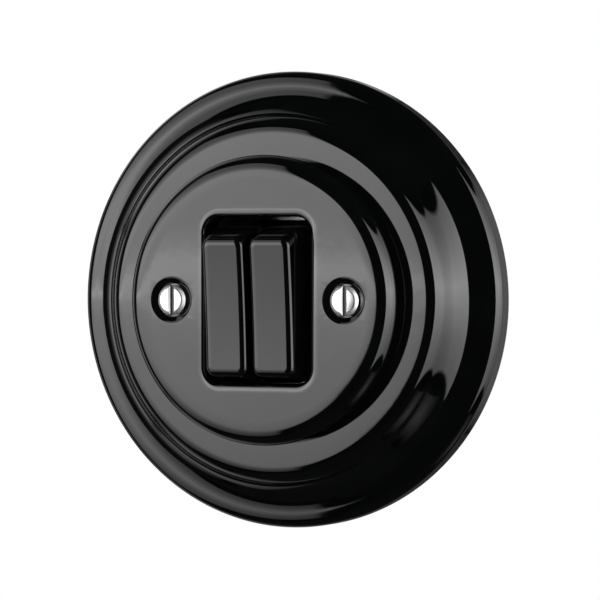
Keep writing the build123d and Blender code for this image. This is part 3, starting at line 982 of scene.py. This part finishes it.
def edge_shift(tree, rise, lean, tip):
    """Upright near the middle height, leaning away above and below, and drawn in at the foot."""
    off_middle = calculate(tree, "ABSOLUTE", calculate(tree, "SUBTRACT", rise, edge_height))
    beyond = calculate(tree, "MAXIMUM", calculate(tree, "SUBTRACT", off_middle, edge_upright), 0.0)
    sway = calculate(tree, "MINIMUM", calculate(tree, "MULTIPLY", beyond, lean), edge_most_shift)
    far_down = calculate(tree, "MAXIMUM", calculate(tree, "SUBTRACT", edge_foot, rise), 0.0)
    narrowing = calculate(tree, "MULTIPLY", far_down, edge_foot_rate)
    return calculate(tree, "ADD", sway, calculate(tree, "MINIMUM", narrowing, tip))


def light_sheet(name, centre, facing, wide, tall, across, upwards, lean, tip, gloss_strength, plain_strength):
    """Soft light whose brightness follows one band of levels across and one by elevation."""
    sheet = plane_object(name, centre, facing, wide, tall)
    material, tree, shader = start_material(name)
    material.cycles.emission_sampling = "NONE"
    tree.nodes.remove(shader)
    glow = add_node(tree, "ShaderNodeEmission")
    place = add_node(tree, "ShaderNodeTexCoord")
    side = add_node(tree, "ShaderNodeSeparateXYZ")
    wire(tree, place.outputs["Generated"], side.inputs[0])
    spot = add_node(tree, "ShaderNodeNewGeometry")
    apart = add_node(tree, "ShaderNodeVectorMath", operation="SUBTRACT")
    wire(tree, spot.outputs["Position"], apart.inputs[0])
    apart.inputs[1].default_value = middle
    aim = add_node(tree, "ShaderNodeVectorMath", operation="NORMALIZE")
    wire(tree, apart.outputs["Vector"], aim.inputs[0])
    rise = add_node(tree, "ShaderNodeSeparateXYZ")
    wire(tree, aim.outputs["Vector"], rise.inputs[0])
    sway = edge_shift(tree, rise.outputs["Z"], lean, tip)
    low = upwards[0][0]
    span = upwards[-1][0] - low
    shares = (
        (calculate(tree, "SUBTRACT", side.outputs["X"], sway), across),
        (
            calculate(tree, "DIVIDE", calculate(tree, "SUBTRACT", rise.outputs["Z"], low), span),
            [((sine_up - low) / span, level) for sine_up, level in upwards],
        ),
    )
    path = add_node(tree, "ShaderNodeLightPath")
    lift = calculate(tree, "MULTIPLY", path.outputs["Is Glossy Ray"], gloss_strength - plain_strength)
    level = calculate(tree, "ADD", lift, plain_strength)
    for share, stops in shares:
        ramp = add_node(tree, "ShaderNodeValToRGB")
        wire(tree, share, ramp.inputs["Fac"])
        marks = ramp.color_ramp.elements
        while len(marks) < len(stops):
            marks.new(0.5)
        for mark, (position, value) in zip(marks, stops):
            mark.position = position
            mark.color = (value, value, value, 1.0)
        level = calculate(tree, "MULTIPLY", level, ramp.outputs["Color"])
    wire(tree, level, glow.inputs["Strength"])
    wire(tree, glow.outputs[0], tree.nodes["Material Output"].inputs["Surface"])
    sheet.data.materials.append(material)
    sheet.visible_camera = False
    sheet.visible_shadow = False
    return sheet


def dark_screen(name, centre, wide, tall, shade):
    """Dim card that only reflections see."""
    sheet = plane_object(name, centre, middle, wide, tall)
    material, tree, shader = start_material(name)
    shader.inputs["Base Color"].default_value = (0.0, 0.0, 0.0, 1.0)
    shader.inputs["Roughness"].default_value = 1.0
    shader.inputs["Specular IOR Level"].default_value = 0.0
    shader.inputs["Emission Color"].default_value = (1.0, 1.0, 1.0, 1.0)
    shader.inputs["Emission Strength"].default_value = shade
    material.cycles.emission_sampling = "NONE"
    sheet.data.materials.append(material)
    sheet.visible_camera = False
    sheet.visible_diffuse = False
    sheet.visible_shadow = False
    return sheet


def around(degrees, distance):
    """Point at an angle from straight ahead, positive to the right."""
    return (distance * sine(degrees), -distance * cosine(degrees), 0.0)


def softbox(name, degrees, distance, across, upwards, gloss_strength, plain_strength, lean=0.0, tip=0.0):
    """Light set at an angle round the object; its bands are (angle seen from the object, level)."""
    sides = [(distance * tangent(angle - degrees), level) for angle, level in across]
    low = distance * tangent(upwards[0][0]) * sheet_margin
    high = distance * tangent(upwards[-1][0]) * sheet_margin
    wide = sides[-1][0] - sides[0][0]
    along = Vector((cosine(degrees), sine(degrees), 0.0))
    centre = Vector(middle) + Vector(around(degrees, distance)) + along * (sides[0][0] + wide / 2)
    centre.z += (low + high) / 2
    facing = centre - Vector(around(degrees, 1.0))
    across_stops = [(1 - (spot - sides[0][0]) / wide, level) for spot, level in reversed(sides)]
    upward_stops = [(sine(angle), level) for angle, level in upwards]
    return light_sheet(
        name, centre, facing, wide, high - low, across_stops, upward_stops, lean, tip, gloss_strength,
        plain_strength,
    )


# Bands of the lights, as angles seen from the object with the share of the light's strength there
left_across = [
    (-62, 0.0), (-59, 0.85), (-45, 1.0), (-35, 0.98), (-28, 0.95), (-21, 0.82), (-18.5, 0.74), (-17, 0.0),
]
left_upwards = [
    (-34, 0.0), (-31, 0.12), (-25, 0.15), (-15, 0.32), (-6, 0.52), (-2.2, 0.58), (-1.3, 0.66), (-0.7, 0.82),
    (-0.1, 1.1), (0.5, 0.8), (1.0, 0.68), (2.0, 0.68), (5, 0.74), (9, 0.7), (15, 0.42), (25, 0.22), (36, 0.2),
    (38, 0.0),
]
right_across = [
    (29, 0.0), (37, 0.0), (39, 1.0), (85, 1.0), (95, 0.84), (105, 0.74), (115, 0.63), (125, 0.5), (140, 0.36),
    (152, 0.1),
]
right_upwards = [
    (-32, 0.0), (-30, 0.33), (-25, 0.36), (-15, 0.48), (-5, 0.72), (5, 1.0),
    (15, 0.75), (25, 0.52), (36, 0.36), (38.5, 0.0),
]
rear_across = [(145, 0.0), (151, 1.0), (164, 0.9), (174, 0.0)]
rear_upwards = [(-40, 0.0), (-30, 0.7), (5, 1.0), (35, 0.7), (46, 0.0)]
strip_across = [
    (-107, 0.0), (-103.5, 1.0), (-97, 1.0), (-91, 0.42), (-86, 0.22), (-80, 0.06), (-74, 0.0),
]
strip_upwards = [(-48, 0.0), (-36, 0.6), (0, 1.0), (36, 0.6), (48, 0.0)]
glint_across = [(-168, 0.0), (-155, 0.9), (-104, 1.0), (-98, 0.0)]
glint_upwards = [(-66, 0.0), (-60, 0.4), (-50, 0.7), (-40, 0.95), (-30, 1.0), (-22, 0.0)]
low_across = [(42, 0.0), (84, 1.0), (104, 0.8), (128, 0.0)]
low_upwards = [(-65, 0.0), (-53, 1.0), (-46, 0.7), (-33, 0.0)]
upper_upwards = [(10, 0.0), (18, 1.0), (28, 1.0), (40, 0.6), (52, 0.35), (60, 0.25), (66, 0.0)]

stage_pieces = [
    softbox("left_light", -39, 1.6, left_across, left_upwards, 5.6, 0.6, lean=1.3, tip=0.05),
    softbox("right_light", 80, 1.2, right_across, right_upwards, 5.5, 0.6, lean=0.1),
    softbox("rear_light", 158, 2.2, rear_across, rear_upwards, 0.5, 0.05),
    softbox("side_strip", -98, 2.0, strip_across, strip_upwards, 1.3, 0.1),
    softbox("low_glint", -136, 1.3, glint_across, glint_upwards, 0.6, 0.1),
    softbox("upper_glint", -136, 1.3, glint_across, upper_upwards, 1.1, 0.05),
    softbox("low_right", 88, 1.0, low_across, low_upwards, 0.5, 0.05),
    dark_screen("front_card", (0.0, -4.0, 0.0), card_width, card_height, 0.01),
    dark_screen("back_card", (0.0, 4.5, 0.0), card_width, card_height, 0.07),
    dark_screen("left_card", (-4.0, 0.0, 0.0), card_width, card_height, 0.03),
    dark_screen("right_card", (5.0, 0.0, 0.0), card_width, card_height, 0.03),
    dark_screen("upper_card", (0.0, 0.0, 3.6), card_width, card_width, 0.012),
    dark_screen("lower_card", (0.0, 0.0, -2.6), card_width, card_width, 0.025),
]



def seen_rays(tree):
    """1 for rays from the camera and for mirrored or refracted ones, 0 for the light thrown on things."""
    path = add_node(tree, "ShaderNodeLightPath")
    seen = calculate(tree, "MAXIMUM", path.outputs["Is Camera Ray"], path.outputs["Is Glossy Ray"])
    return calculate(tree, "MAXIMUM", seen, path.outputs["Is Transmission Ray"])


def pale_floor():
    """Wide pale floor, a little brighter to the eye than the light on it makes it."""
    floor = plane_object("floor", (0.0, 0.0, -floor_drop), (0.0, 0.0, 1.0), floor_width, floor_width)
    material, tree, shader = start_material("pale_floor")
    shader.inputs["Base Color"].default_value = (0.9, 0.9, 0.9, 1.0)
    shader.inputs["Roughness"].default_value = 0.9
    shader.inputs["Emission Color"].default_value = (1.0, 1.0, 1.0, 1.0)
    glow = calculate(tree, "MULTIPLY", seen_rays(tree), floor_glow)
    wire(tree, glow, shader.inputs["Emission Strength"])
    material.cycles.emission_sampling = "NONE"
    floor.data.materials.append(material)
    return floor


stage_pieces.append(pale_floor())


def make_world():
    """White surroundings, and a plain level of light on the object."""
    world = bpy.data.worlds.new("studio")
    scene.world = world
    world.use_nodes = True
    tree = world.node_tree
    ground = tree.nodes["Background"]
    ground.inputs["Color"].default_value = (1.0, 1.0, 1.0, 1.0)
    lift = calculate(tree, "MULTIPLY", seen_rays(tree), 1.0 - world_level)
    wire(tree, calculate(tree, "ADD", lift, world_level), ground.inputs["Strength"])


make_world()
scene.view_settings.view_transform = "Standard"

# Camera at the photograph's viewing angle
view_azimuth = 24.6
view_elevation = 0.7
view_distance = 0.8
picture_width = 600
pixels_per_mm = 4.6
sideways = 0.00539
back = Vector((
    sine(view_azimuth) * cosine(view_elevation),
    -cosine(view_azimuth) * cosine(view_elevation),
    sine(view_elevation),
))
right = Vector((cosine(view_azimuth), sine(view_azimuth), 0.0))
aim = Vector(middle) + right * sideways
lens_data = bpy.data.cameras.new("camera")
sensor_width = 36.0
lens_data.sensor_width = sensor_width
lens_data.lens = sensor_width * view_distance / (picture_width / pixels_per_mm * MM)
lens_data.clip_start = 0.01
camera = link(bpy.data.objects.new("camera", lens_data))
camera.location = aim + back * view_distance
camera.rotation_euler = back.to_track_quat("Z", "Y").to_euler()
scene.camera = camera
